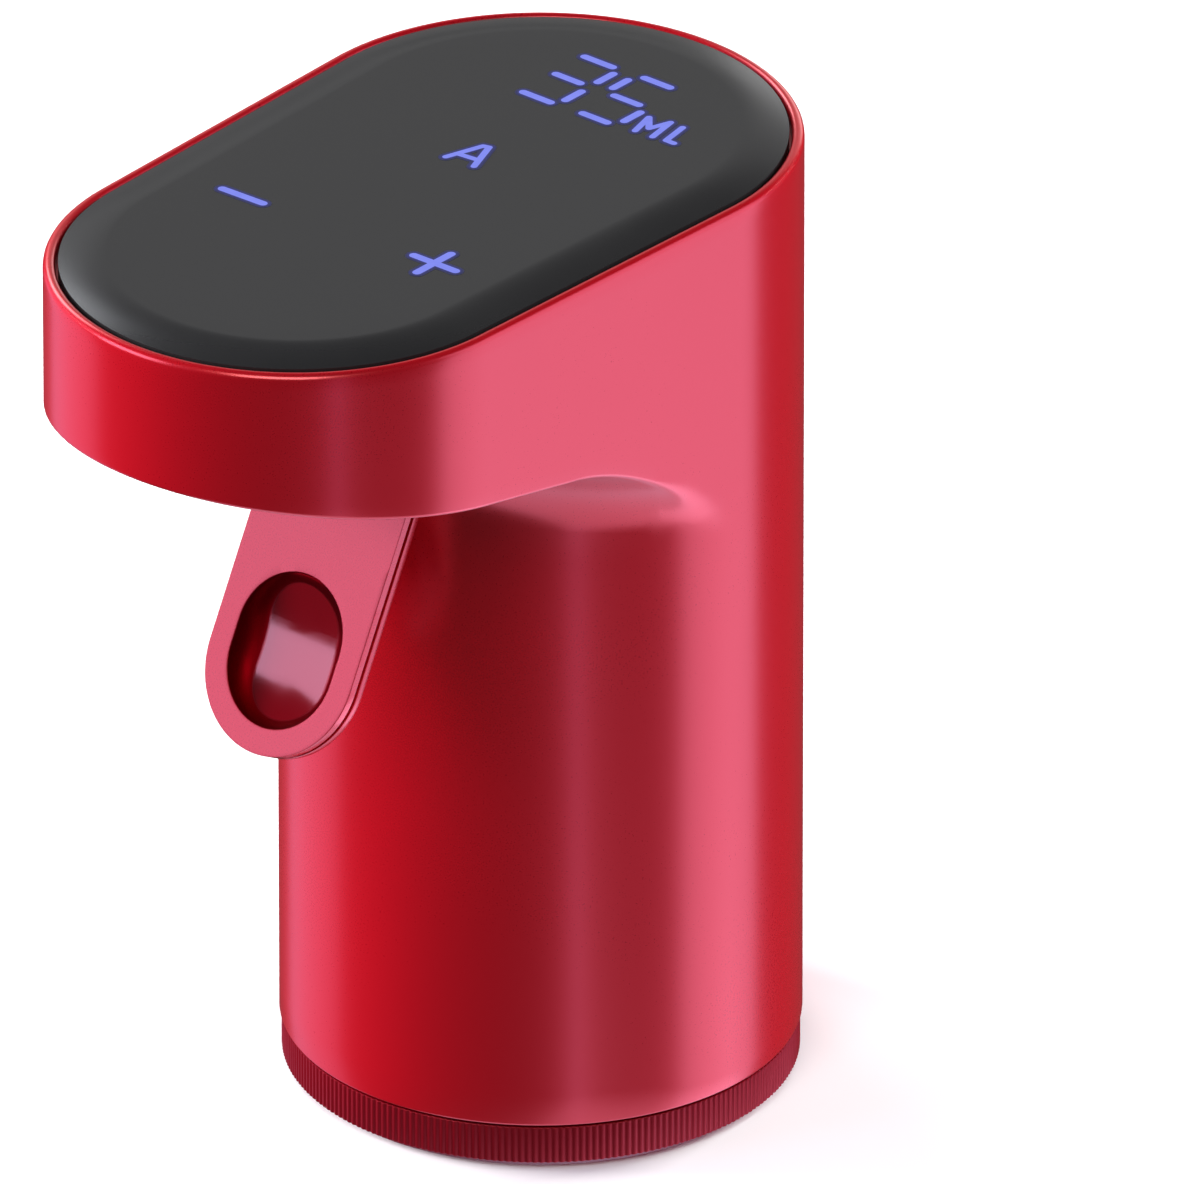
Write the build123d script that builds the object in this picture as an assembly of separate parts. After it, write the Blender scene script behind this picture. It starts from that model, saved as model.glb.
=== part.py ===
import os
from math import asin, cos, degrees, pi, radians, sin, tan

from build123d import *

# Electric wine dispenser that stands on a bottle's neck.
# Origin: centre of the foot, on the body's axis. +Z is up, the spout end is towards -Y.

# Outer form
body_r = 29.0  # round body
nose_r = 27.8  # round front end of the head
spout_reach = 59.0  # spout ahead of the body's axis
spout_edge = 9.6  # spout behind the front of the nose
rim_z = 114.2  # top edge of the housing
underside_z = 86.0  # underside of the head, measured on the body's axis
underside_angle = 10.1  # rise of the underside towards the nose, degrees
blend_r = 10.0  # hollow blend between body and underside
rim_edge_r = 0.5  # rounding of the rim
wall = 2.0
rim_wall = 1.4  # wall beside the panel

# Clearances
seam_gap = 0.3  # visible gap between two bodies
slip_gap = 0.2  # a piece that drops into its seat
pin_gap = 0.05  # a turning piece on its pin
bore_gap = 0.02  # a pin or screw in the hole that holds it
hose_gap = 0.1  # a hose on its stub

# Panel and display
panel_crown = 1.0  # height of the panel above the rim
panel_bevel = 4.0  # width of its soft edge
panel_steps = 6  # outlines of that edge
panel_depth = 1.2  # panel below the rim
gasket_t = 0.8
ledge_w = 1.2  # ledge that carries the gasket
ledge_t = 1.5
board_inset = 8.0  # display board, in from the outer form
board_t = 1.2
board_drop = 3.6  # panel's underside to the board
post_r = 2.4
post_x = 15.0  # rear posts of the board, the front post stands between the side pads
post_y = 13.0
board_lead = 6.4  # front of the board, behind the outlet hose's last bend
digits_w = 24.0
digits_d = 13.0
digits_edge = 19.3  # middle of the digits, in from the back of the head
pad_r = 4.5
pad_side_x = 13.2  # touch pads of the minus and plus marks
pad_back = 6.7  # those two, behind the centre of the nose
pad_mode_y = -11.6

# Twist collar and neck end
collar_h = 5.3
collar_step = 0.25  # grip's ribs inside the body's outer wall
grip_t = 2.0
rib_count = 124
rib_h = 0.45
foot_h = 0.9  # plain foot below the grip
foot_inset = 0.8
foot_chamfer = 0.6
core_drop = 0.4  # top of the collar's core below the grip's top
neck_r = 15.2  # bore for the bottle's neck
sleeve_t = 2.1
sleeve_h = 31.0
well_wall = 2.0
well_depth = 42.0  # underside of the cup's roof
roof_t = 2.5
hook_t = 1.2  # collar's snap ring
hook_h = 6.1
bead_w = 0.9
bead_h = 1.5
collar_turn = 40.0  # degrees between the stops
stop_w = 10.0  # width of a stop, degrees
stop_h = 1.6
flange_t = 2.5
well_screw_edge = 2.55  # screws of the cup, in from the body's bore
well_screw_count = 4
boss_h = 12.0
boss_r = 2.9

# Plug and suction fitting
plug_flange_r = 16.6
plug_flange_h = 4.0
plug_r = 9.2
plug_h = 11.5
plug_rib = 0.5
plug_rib_count = 3
stem_r = 3.0
stem_bore = 1.5
stem_flange_r = 5.0
stem_flange_t = 1.4
straw_stub_r = 2.6
straw_stub_h = 8.5
nut_r = 6.2
nut_h = 2.4
elbow_rise = 5.5  # hose stub above the cup's roof

# Hoses and their stubs
hose_r = 2.75
stub_r = 1.6
stub_bore = 1.0
stub_h = 4.6
inlet_rise_gap = 5.5  # inlet hose's rise, ahead of the pump's stub
inlet_bends = [8.0, 5.0]
outlet_bends = [12.0, 8.0, 5.0]
outlet_lead = 5.8  # outlet hose's first run, past the pump's stub
outlet_side = 15.0  # outlet hose beside the lever's ears
elbow_block = 6.4  # block at each elbow

# Chassis, cell and main board
chassis_gap = 0.8
chassis_t = 2.5
cradle_wall = 1.5
motor_lift = 6.0  # motor above the chassis floor
cradle_grip = 7.0  # depth of the motor in its cradle
elbow_room = 7.2  # half width of the way left for the suction elbow
cell_edge = 13.5  # cell's axis, in from the body's bore
cell_y = 1.0
cell_r = 7.25
cell_h = 50.0
cell_cradle_h = 10.0
tab_r = 5.0
tab_t = 0.3
board_edge = 8.5  # main board, in from the body's bore
main_board_w = 28.0
main_board_h = 40.0
main_board_t = 1.6
rail_w = 4.0
rail_d = 5.0
rail_h = 22.0
rail_floor = 1.5
usb_w = 8.94
usb_h = 3.26
usb_wall = 0.3
usb_tongue_w = 6.7
usb_tongue_t = 0.7
usb_inset = 0.5  # mouth of the socket inside the outer wall
usb_z = 62.0
chassis_screw_spots = [(9.0, -13.0), (6.0, 13.5), (-5.0, -16.0)]

# Motor and gear pump
pump_edge = 2.0  # pump, in from the body's bore
pump_y = 3.5
motor_r = 12.2
motor_h = 30.8
motor_wall = 2.4  # can and magnets
motor_cap_t = 2.5
armature_r = 9.2
armature_gap = 2.0  # each end of the armature
motor_nose_r = 3.0
motor_nose_h = 1.5
shaft_r = 1.0
pump_r = 13.5
pump_floor = 2.5
gear_teeth = 10
gear_pitch_r = 3.6
gear_tip = 0.7  # tooth above the pitch circle
gear_root = 1.0  # tooth below the pitch circle
tooth_root = 0.3  # half a tooth at its root, as a share of the pitch
tooth_tip = 0.11  # half a tooth at its tip, as a share of the pitch
gear_h = 5.2
gear_gap = 0.15
idler_pin_r = 1.0
cover_h = 6.4
pump_seal_t = 0.6
pump_seal_w = 1.1
port_x = 5.0  # hose stubs each side of the pump's axis
port_front = 13.2  # face of the stubs, ahead of the pump's axis
port_block_w = 16.0
pump_screw_pitch_r = 11.0

# Push lever
lever_lean = 27.8  # degrees forward of upright
lever_w = 20.2
lever_ahead = 15.05  # centre of the lever's round end, ahead of the body's wall
lever_z = 65.5  # height of that centre
face_t = 1.0
groove_t = 0.5
groove_inset = 0.6
back_t = 0.9
dish_r = 7.1
dish_run = 3.2  # straight part of the dish
dish_low = 0.1  # dish's lower centre, from the round end's centre
dish_depth = 5.3
dish_round = 4.2
dish_wall = 1.2
shoulder = 22.0  # top of the wide part, above the round end's centre
neck_w = 12.0
lever_turn = 8.0  # travel, degrees
pivot_rise = 36.5  # pivot above the round end's centre, along the lever
pivot_pin_r = 1.5
barrel_r = 3.2
barrel_half = 6.4
spring_w = 3.6
spring_r = 3.0
finger_w = 5.0
finger_t = 2.4
finger_reach = 5.5  # switch button behind the pivot
ear_t = 2.5
ear_front = 5.5  # ear ahead of the pivot
ear_rear = 9.0  # ear behind the pivot
ear_top = 9.0  # ear above the pivot
ear_step = 2.0  # underside of the ear's rear part, above the pivot

# Lever switch
switch_d = 5.8
switch_h = 5.0
switch_gap = 1.2  # switch above the finger
button_r = 1.1
button_in = 2.6  # button inside the switch
button_gap = 0.3  # button above the finger

# Spout
spout_r = 4.0
spout_bore = 2.6
spout_drop = 1.4  # nozzle below the underside
spout_flange_r = 5.4
spout_flange_t = 1.2
spout_seal_t = 0.8
spout_boss_r = 5.6
spout_seat_lift = 0.4

# Screws
screw_r = 1.0
screw_head_r = 1.8
screw_head_h = 1.2
small_screw_r = 0.8
small_head_r = 1.5
small_head_h = 1.0

# Levels and places that follow from these sizes
bore_r = body_r - wall
head_reach = spout_reach + spout_edge - nose_r
collar_r = body_r - collar_step
well_screw_pitch_r = bore_r - well_screw_edge
cell_x = bore_r - cell_edge
board_y = bore_r - board_edge
pump_x = pump_r + pump_edge - bore_r
lever_y = -body_r - lever_ahead
digits_y = body_r - digits_edge
pad_side_y = pad_back - head_reach
shell_z = collar_h + seam_gap
ledge_z = rim_z - panel_depth - gasket_t
board_z = rim_z - panel_depth - board_drop - board_t
slope = tan(radians(underside_angle))
floor_rise = wall / cos(radians(underside_angle))
sleeve_r = neck_r + sleeve_t
well_r = sleeve_r + slip_gap
well_out = well_r + well_wall
collar_core_z = collar_h - core_drop
hook_r = well_out + seam_gap
hook_out = hook_r + hook_t
hook_z = collar_core_z + hook_h
bead_r = hook_out + bead_w
bead_z = hook_z - bead_h
groove_r = bead_r + seam_gap
groove_top = hook_z + stop_h + seam_gap
flange_z = groove_top + flange_t
well_flange_r = bore_r - seam_gap
roof_z = well_depth + roof_t
chassis_z = roof_z + chassis_t
chassis_r = bore_r - chassis_gap
elbow_z = roof_z + elbow_rise
plug_z = well_depth - plug_flange_h - plug_h
motor_z = chassis_z + motor_lift
pump_z = motor_z + motor_h
gear_z = pump_z + pump_floor + gear_gap
chamber_top = gear_z + gear_h + gear_gap
cover_z = chamber_top + pump_seal_t
port_z = cover_z + cover_h / 2
idler_y = pump_y + 2 * gear_pitch_r
mesh_y = (pump_y + idler_y) / 2
port_y = pump_y - port_front
hose_bore = stub_r + hose_gap
lever_t = face_t + groove_t + back_t
lean = radians(lever_lean)
lever_up = Vector(0, sin(lean), cos(lean))
lever_front = Vector(0, -cos(lean), sin(lean))
lever_origin = Vector(0, lever_y, lever_z)
pivot = lever_origin + lever_up * pivot_rise - lever_front * (lever_t / 2)
lever_plane = Plane(origin=lever_origin, x_dir=(1, 0, 0), z_dir=lever_front)
finger_top = pivot.Z + finger_t / 2
switch_y = pivot.Y + finger_reach
switch_z = finger_top + switch_gap
spout_seat = underside_z + slope * (spout_reach + spout_boss_r) + floor_rise + spout_seat_lift
spout_flange_z = spout_seat + spout_seal_t
spout_elbow_z = spout_flange_z + spout_flange_t + elbow_block / 2 - slip_gap
spout_tip = underside_z + slope * spout_reach - spout_drop
underside = Plane(origin=(0, 0, underside_z), x_dir=(1, 0, 0), z_dir=(0, sin(radians(underside_angle)),
                                                                        cos(radians(underside_angle))))
up = (Align.CENTER, Align.CENTER, Align.MIN)
back_up = (Align.CENTER, Align.MIN, Align.MAX)


def post(radius, height, x=0.0, y=0.0, z=0.0):
    return Pos(x, y, z) * Cylinder(radius, height, align=up)


def bar(width, depth, height, x=0.0, y=0.0, z=0.0):
    return Pos(x, y, z) * Box(width, depth, height, align=up)


def stub(radius, start, end):
    # round bar from one point to another
    path = Vector(*end) - Vector(*start)
    return Plane(origin=start, z_dir=path) * Cylinder(radius, path.length, align=up)


def turned(points, arc=360.0):
    # outline of radius and height, turned about the body's axis
    outline = Plane.XZ * make_face(Polyline(*points, close=True))
    return revolve(outline, Axis.Z, arc)


def ring(inner, outer, low, high, arc=360.0):
    return turned([(inner, low), (outer, low), (outer, high), (inner, high)], arc)


def screws(spots, z, length, head_up, small=False):
    # pan-head screws whose heads bear on the level z
    radius = small_screw_r if small else screw_r
    head_r = small_head_r if small else screw_head_r
    head_h = small_head_h if small else screw_head_h
    side = 1 if head_up else -1
    solids = []
    for x, y in spots:
        shank = stub(radius, (x, y, z), (x, y, z - side * length))
        head = stub(head_r, (x, y, z), (x, y, z + side * head_h))
        solids.append((shank + head).solid())
    return Compound(children=solids)


def head_outline(inset):
    # two circles and their common tangents, moved in by the inset
    rear = body_r - inset
    nose = nose_r - inset
    tilt = asin((body_r - nose_r) / head_reach)
    rear_x, rear_y = rear * cos(tilt), -rear * sin(tilt)
    nose_x, nose_y = nose * cos(tilt), -nose * sin(tilt) - head_reach
    return make_face([
        ThreePointArc((rear_x, rear_y), (0, rear), (-rear_x, rear_y)),
        Line((-rear_x, rear_y), (-nose_x, nose_y)),
        ThreePointArc((-nose_x, nose_y), (0, -head_reach - nose), (nose_x, nose_y)),
        Line((nose_x, nose_y), (rear_x, rear_y)),
    ])


def head_prism(inset, low, high):
    return Pos(0, 0, low) * extrude(head_outline(inset), high - low)


def above_underside(lift):
    # everything above the underside, moved up square to it
    span = 4 * (head_reach + body_r)
    return underside * Pos(0, 0, lift) * Box(span, span, rim_z, align=up)


def obround(half_width, run):
    # slot outline that stands on its lower centre
    return Pos(0, run / 2) * SlotOverall(run + 2 * half_width, 2 * half_width, rotation=90)


def well_screw_spots():
    step = 360 / well_screw_count
    places = [radians(step * (i + 0.5)) for i in range(well_screw_count)]
    return [(well_screw_pitch_r * cos(a), well_screw_pitch_r * sin(a)) for a in places]


def panel_posts():
    return [(-post_x, post_y), (post_x, post_y), (0, pad_side_y)]


def outer_form():
    joined = above_underside(0) + post(body_r, rim_z - shell_z, z=shell_z)
    blended = fillet(joined.edges().filter_by(GeomType.ELLIPSE), blend_r)
    return blended & head_prism(0, shell_z, rim_z)


def inner_space():
    throat_z = ledge_z - ledge_t
    body_space = post(bore_r, throat_z - shell_z, z=shell_z)
    head_space = head_prism(wall, underside_z, throat_z) & above_underside(wall)
    throat = head_prism(rim_wall + ledge_w, throat_z, ledge_z)
    pocket = head_prism(rim_wall, ledge_z, rim_z)
    return body_space + head_space + throat + pocket


def lever_ears():
    # two plates on the head's floor that hold the hinge pin and the switch
    root_z = underside_z - slope * (pivot.Y - ear_front) + floor_rise / 2
    heel = pivot.Y + ear_front / 2
    outline = Polyline(
        (pivot.Y - ear_front, root_z), (pivot.Y - ear_front, pivot.Z + ear_top),
        (pivot.Y + ear_rear, pivot.Z + ear_top), (pivot.Y + ear_rear, pivot.Z + ear_step),
        (heel, pivot.Z + ear_step - ear_front / 2), (heel, root_z), close=True)
    plate = extrude(Plane.YZ * make_face(outline), ear_t)
    inside = barrel_half + seam_gap
    ears = Pos(inside, 0, 0) * plate + Pos(-inside - ear_t, 0, 0) * plate
    reach = inside + 2 * ear_t
    return ears - stub(pivot_pin_r + bore_gap, (-reach, pivot.Y, pivot.Z), (reach, pivot.Y, pivot.Z))


def lever_slot():
    # opening for the lever's neck, with room behind it for the travel
    travel = (pivot_rise - shoulder) * sin(radians(lever_turn))
    front = 2 * seam_gap
    depth = lever_t + travel + 4 * seam_gap
    opening = Box(neck_w + 2 * front, pivot_rise - shoulder, depth, align=back_up)
    return lever_plane * Pos(0, shoulder, front) * opening


def spout_boss():
    boss = post(spout_boss_r, spout_seat - underside_z, y=-spout_reach, z=underside_z)
    return boss & above_underside(0)


def housing_shell():
    shell = outer_form() - inner_space() - lever_slot()
    shell = shell + lever_ears() + spout_boss()
    shell = shell - post(spout_r + slip_gap, rim_z - underside_z, y=-spout_reach, z=underside_z) \
        - usb_opening()
    for x, y in well_screw_spots():
        shell = shell + (post(boss_r, boss_h, x, y, flange_z) & post(body_r - wall / 2, rim_z))
        shell = shell - post(screw_r + bore_gap, boss_h - boss_r, x, y, flange_z)
    rim = shell.faces().filter_by(Plane.XY).sort_by(Axis.Z)[-1]
    return fillet(rim.outer_wire().edges(), rim_edge_r)


def usb_opening():
    hole = Plane.XZ * SlotOverall(usb_w + 2 * seam_gap, usb_h + 2 * seam_gap)
    return Pos(0, 0, usb_z) * extrude(hole, -2 * body_r)


def usb_socket():
    # obround shell on the board, with its tongue inside
    base_y = board_y + main_board_t
    depth = body_r - usb_inset - base_y
    outside = extrude(Plane.XZ * SlotOverall(usb_w, usb_h), -depth)
    cavity = extrude(Plane.XZ * SlotOverall(usb_w - 2 * usb_wall, usb_h - 2 * usb_wall), -depth)
    tongue = Pos(0, depth / 2, 0) * Box(usb_tongue_w, depth - 2 * usb_wall, usb_tongue_t)
    socket = outside - Pos(0, 2 * usb_wall, 0) * cavity + tongue
    return Pos(0, base_y, usb_z) * socket


def touch_panel():
    # soft edge through outlines that follow a quarter of an ellipse
    edge = rim_wall + seam_gap
    plate = head_prism(edge, rim_z - panel_depth, rim_z)
    turns = [pi / 2 * i / panel_steps for i in range(panel_steps + 1)]
    crown = loft([Pos(0, 0, rim_z + panel_crown * sin(t)) * head_outline(edge + panel_bevel * (1 - cos(t)))
                  for t in turns], ruled=True)
    panel = plate + crown
    for x, y in panel_posts():
        panel = panel + post(post_r, board_drop, x, y, board_z + board_t)
        panel = panel - post(small_screw_r + bore_gap, board_drop, x, y, board_z + board_t)
    return panel


def panel_gasket():
    outside = head_prism(rim_wall + seam_gap, ledge_z, ledge_z + gasket_t)
    return outside - head_prism(rim_wall + ledge_w, ledge_z, ledge_z + gasket_t)


def outlet_turn():
    # last bend of the outlet hose, in front of its stub
    return elbow_block / 2 + 2 * stub_h - spout_reach


def display_board():
    # ends behind the outlet hose, which rises to the spout
    front = outlet_turn() + board_lead
    room = bar(2 * body_r, body_r - front, board_t, y=(body_r + front) / 2, z=board_z)
    board = head_prism(board_inset, board_z, board_z + board_t) & room
    for x, y in panel_posts():
        board = board - post(small_screw_r + slip_gap, board_t, x, y, board_z)
    return board


def digit_display():
    height = board_drop - slip_gap
    return bar(digits_w, digits_d, height, y=digits_y, z=board_z + board_t)


def touch_pads():
    spots = [(-pad_side_x, pad_side_y), (0, pad_mode_y), (pad_side_x, pad_side_y)]
    pads = [post(pad_r, board_drop - slip_gap, x, y, board_z + board_t).solid() for x, y in spots]
    return Compound(children=pads)


def board_screws():
    return screws(panel_posts(), board_z, board_t + board_drop - slip_gap, head_up=False, small=True)


def lock_collar():
    core_r = collar_r - grip_t
    foot_r = collar_r - foot_inset
    core = turned([
        (neck_r, 0), (foot_r - foot_chamfer, 0), (foot_r, foot_chamfer), (foot_r, foot_h), (core_r, foot_h),
        (core_r, collar_core_z), (hook_out, collar_core_z), (hook_out, bead_z), (bead_r, bead_z + bead_w),
        (bead_r, hook_z), (hook_r, hook_z), (hook_r, collar_core_z), (neck_r, collar_core_z),
    ])
    stop = Rot(0, 0, 90 - stop_w / 2) * ring(hook_r, hook_out, hook_z, hook_z + stop_h, stop_w)
    return core + stop


def collar_grip():
    # two points a rib, on the crest and in the valley
    step = pi / rib_count
    radii = [collar_r - rib_h * (i % 2) for i in range(2 * rib_count)]
    outline = Polyline(*[(r * cos(i * step), r * sin(i * step)) for i, r in enumerate(radii)], close=True)
    band = extrude(make_face(outline) - Circle(collar_r - grip_t + bore_gap), collar_h - foot_h)
    return Pos(0, 0, foot_h) * band


def neck_well():
    well = turned([
        (well_r, shell_z), (well_out, shell_z), (well_out, groove_top), (groove_r, groove_top),
        (groove_r, bead_z - seam_gap), (hook_out + seam_gap, bead_z - seam_gap), (hook_out + seam_gap, shell_z),
        (well_flange_r, shell_z), (well_flange_r, flange_z), (well_out, flange_z), (well_out, roof_z),
        (stem_r + slip_gap, roof_z), (stem_r + slip_gap, well_depth), (well_r, well_depth),
    ])
    gap = degrees(2 * seam_gap / hook_r)
    for start in (90 - 1.5 * stop_w - gap, 90 + 0.5 * stop_w + collar_turn + gap):
        well = well + Rot(0, 0, start) * ring(well_out, groove_r, groove_top - stop_h, groove_top, stop_w)
    head_seat = shell_z + 2 * screw_head_h
    for x, y in well_screw_spots():
        well = well - post(screw_r + slip_gap, flange_z - shell_z, x, y, shell_z)
        well = well - post(screw_head_r + slip_gap, head_seat - shell_z, x, y, shell_z)
    for x, y in chassis_screw_spots:
        well = well - post(screw_r + bore_gap, roof_t, x, y, well_depth)
    return well


def well_screws():
    seat = shell_z + 2 * screw_head_h
    return screws(well_screw_spots(), seat, flange_z - seat + boss_h / 2, head_up=False)


def neck_sleeve():
    return ring(neck_r, sleeve_r, shell_z, shell_z + sleeve_h)


def mouth_plug():
    flange_low = well_depth - plug_flange_h
    step = plug_h / (plug_rib_count + 1)
    points = [(stem_r + bore_gap, plug_z), (plug_r, plug_z)]
    for i in range(plug_rib_count):
        level = plug_z + step * (i + 1)
        points += [(plug_r, level - step / 4), (plug_r + plug_rib, level), (plug_r, level + step / 4)]
    points += [(plug_r, flange_low), (plug_flange_r, flange_low), (plug_flange_r, well_depth),
               (stem_r + bore_gap, well_depth)]
    return turned(points)


def inlet_fitting():
    low = plug_z - stem_flange_t
    face_y = -elbow_block / 2
    tip = face_y - stub_h
    fitting = post(stem_r, elbow_z - plug_z, z=plug_z) + post(stem_flange_r, stem_flange_t, z=low)
    fitting = fitting + post(straw_stub_r, straw_stub_h, z=low - straw_stub_h)
    fitting = fitting + Pos(0, 0, elbow_z) * Box(elbow_block, elbow_block, 2 * hose_r - slip_gap)
    fitting = fitting + stub(stub_r, (0, 0, elbow_z), (0, tip, elbow_z))
    fitting = fitting - post(stem_bore, elbow_z - low + straw_stub_h, z=low - straw_stub_h)
    return fitting - stub(stub_bore, (0, 0, elbow_z), (0, tip, elbow_z))


def fitting_nut():
    nut = extrude(RegularPolygon(nut_r, 6), nut_h) - post(stem_r + bore_gap, nut_h)
    return Pos(0, 0, roof_z) * nut


def chassis():
    frame = post(chassis_r, chassis_t, z=roof_z)
    frame = frame + motor_cradle() + cell_cradle()
    for side in (-1, 1):
        frame = frame + board_rail(side)
    frame = frame & post(chassis_r, rim_z)
    for x, y in chassis_screw_spots:
        frame = frame - post(screw_r + slip_gap, chassis_t, x, y, roof_z)
    return frame - post(nut_r + 2 * slip_gap, chassis_t, z=roof_z)


def motor_cradle():
    grip_r = motor_r + slip_gap
    cradle = post(grip_r + cradle_wall, motor_lift + cradle_grip, pump_x, pump_y, chassis_z)
    cradle = cradle - post(grip_r, cradle_grip, pump_x, pump_y, motor_z)
    cradle = cradle - post(grip_r - 2 * cradle_wall, motor_lift, pump_x, pump_y, chassis_z)
    way = 2 * elbow_room
    return cradle - bar(way, bore_r + elbow_room, motor_lift, 0, (elbow_room - bore_r) / 2, chassis_z)


def cell_cradle():
    inside = cell_r + slip_gap
    cradle = post(inside + cradle_wall, cell_cradle_h, cell_x, cell_y, chassis_z)
    return cradle - post(inside, cell_cradle_h, cell_x, cell_y, chassis_z)


def board_rail(side):
    rail_x = side * main_board_w / 2
    board_mid = board_y + main_board_t / 2
    rail = bar(rail_w, rail_d, rail_h, rail_x, board_mid, chassis_z)
    groove = bar(main_board_w + 2 * slip_gap, main_board_t + 2 * slip_gap, rail_h, 0, board_mid,
                 chassis_z + rail_floor)
    return rail - groove


def chassis_screws():
    return screws(chassis_screw_spots, chassis_z, chassis_t + roof_t - slip_gap, head_up=True)


def battery_cell():
    return post(cell_r, cell_h, cell_x, cell_y, chassis_z + tab_t)


def cell_tabs():
    levels = (chassis_z, chassis_z + tab_t + cell_h)
    return Compound(children=[post(tab_r, tab_t, cell_x, cell_y, z).solid() for z in levels])


def main_board():
    mid = board_y + main_board_t / 2
    return bar(main_board_w, main_board_t, main_board_h, 0, mid, chassis_z + rail_floor)


def motor_can():
    low = motor_z + motor_cap_t
    can = post(motor_r, motor_h - motor_cap_t, pump_x, pump_y, low)
    can = can - post(motor_r - motor_wall, motor_h - motor_cap_t - motor_wall, pump_x, pump_y, low)
    can = can + post(motor_nose_r, motor_nose_h, pump_x, pump_y, pump_z)
    return can - post(shaft_r + pin_gap, motor_h + motor_nose_h, pump_x, pump_y, motor_z)


def motor_cap():
    cap = post(motor_r - slip_gap, motor_cap_t, pump_x, pump_y, motor_z)
    return cap - post(shaft_r + pin_gap, motor_cap_t, pump_x, pump_y, motor_z)


def motor_shaft():
    low = motor_z + motor_cap_t / 2
    return post(shaft_r, gear_z + gear_h - low, pump_x, pump_y, low)


def motor_armature():
    low = motor_z + motor_cap_t + armature_gap
    height = motor_h - motor_cap_t - motor_wall - 2 * armature_gap
    armature = post(armature_r, height, pump_x, pump_y, low)
    return armature - post(shaft_r + bore_gap, height, pump_x, pump_y, low)


def gear(x, y, hole_r, turn):
    # straight-flanked teeth, each a share of the pitch wide at its root and at its tip
    pitch = 2 * pi / gear_teeth
    root_r = gear_pitch_r - gear_root
    tip_r = gear_pitch_r + gear_tip
    corners = [(root_r, -tooth_root), (tip_r, -tooth_tip), (tip_r, tooth_tip), (root_r, tooth_root)]
    places = [(r, pitch * (i + share)) for i in range(gear_teeth) for r, share in corners]
    outline = Polyline(*[(r * cos(a), r * sin(a)) for r, a in places], close=True)
    body = extrude(make_face(outline) - Circle(hole_r), gear_h)
    return Pos(x, y, gear_z) * Rot(0, 0, turn) * body


def drive_gear():
    return gear(pump_x, pump_y, shaft_r + bore_gap, 90)


def idler_gear():
    return gear(pump_x, idler_y, idler_pin_r + pin_gap, 90 + 180 / gear_teeth)


def idler_pin():
    low = pump_z + pump_floor / 2
    return post(idler_pin_r, chamber_top - low, pump_x, idler_y, low)


def pump_screw_spots():
    r = pump_screw_pitch_r
    return [(pump_x - r, pump_y), (pump_x + r, pump_y), (pump_x, pump_y - r)]


def pump_body():
    height = chamber_top - pump_z
    body = post(pump_r, height, pump_x, pump_y, pump_z)
    chamber_r = gear_pitch_r + gear_tip + gear_gap
    for y in (pump_y, idler_y):
        body = body - post(chamber_r, height, pump_x, y, pump_z + pump_floor)
    channel = 2 * (port_x + stub_bore)
    body = body - bar(channel, 2 * stub_bore, height, pump_x, mesh_y, pump_z + pump_floor)
    body = body - post(motor_nose_r + slip_gap, motor_nose_h + slip_gap, pump_x, pump_y, pump_z)
    body = body - post(shaft_r + pin_gap, height, pump_x, pump_y, pump_z)
    body = body - post(idler_pin_r + bore_gap, pump_floor, pump_x, idler_y, pump_z + pump_floor / 2)
    for x, y in pump_screw_spots():
        body = body - post(screw_r + bore_gap, height, x, y, pump_z)
    return body


def pump_seal():
    seal = post(pump_r, pump_seal_t, pump_x, pump_y, chamber_top)
    return seal - post(pump_r - pump_seal_w, pump_seal_t, pump_x, pump_y, chamber_top)


def pump_cover():
    spigot = pump_r - pump_seal_w - bore_gap
    cover = post(pump_r, cover_h, pump_x, pump_y, cover_z)
    cover = cover + post(spigot, pump_seal_t, pump_x, pump_y, chamber_top)
    cover = cover + bar(port_block_w, port_front, cover_h, pump_x, pump_y - port_front / 2, cover_z)
    for x in (pump_x - port_x, pump_x + port_x):
        tip = (x, port_y - stub_h, port_z)
        cover = cover + stub(stub_r, (x, port_y, port_z), tip)
        cover = cover - stub(stub_bore, (x, mesh_y, port_z), tip)
        cover = cover - post(stub_bore, port_z - chamber_top, x, mesh_y, chamber_top)
    for x, y in pump_screw_spots():
        cover = cover - post(screw_r + slip_gap, cover_h + pump_seal_t, x, y, chamber_top)
    return cover


def pump_screws():
    top = cover_z + cover_h
    return screws(pump_screw_spots(), top, top - pump_z - pump_floor, head_up=True)


def hose(points, radii):
    # tube along straight runs and tangent arcs
    path = FilletPolyline(*points, radius=radii)
    start = Plane(origin=path @ 0, z_dir=path % 0)
    tube = sweep(start * (Circle(hose_r) - Circle(hose_bore)), path=path)
    share = tube.volume / (pi * (hose_r ** 2 - hose_bore ** 2) * path.length)
    print("hose: length", round(path.length, 1), "volume over section times length", round(share, 4))
    return tube


def inlet_hose():
    start_y = -elbow_block / 2 - hose_gap
    rise_y = port_y - stub_h - inlet_rise_gap
    x = pump_x + port_x
    return hose([(0, start_y, elbow_z), (0, rise_y, elbow_z), (x, rise_y, port_z), (x, port_y - hose_gap, port_z)],
                inlet_bends)


def outlet_hose():
    x = pump_x - port_x
    stub_face = -spout_reach + elbow_block / 2
    return hose([
        (x, port_y - hose_gap, port_z), (x, port_y - stub_h - outlet_lead, port_z),
        (-outlet_side, pivot.Y - 2 * ear_front, (port_z + spout_elbow_z) / 2),
        (0, outlet_turn(), spout_elbow_z), (0, stub_face + hose_gap, spout_elbow_z),
    ], outlet_bends)


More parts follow.
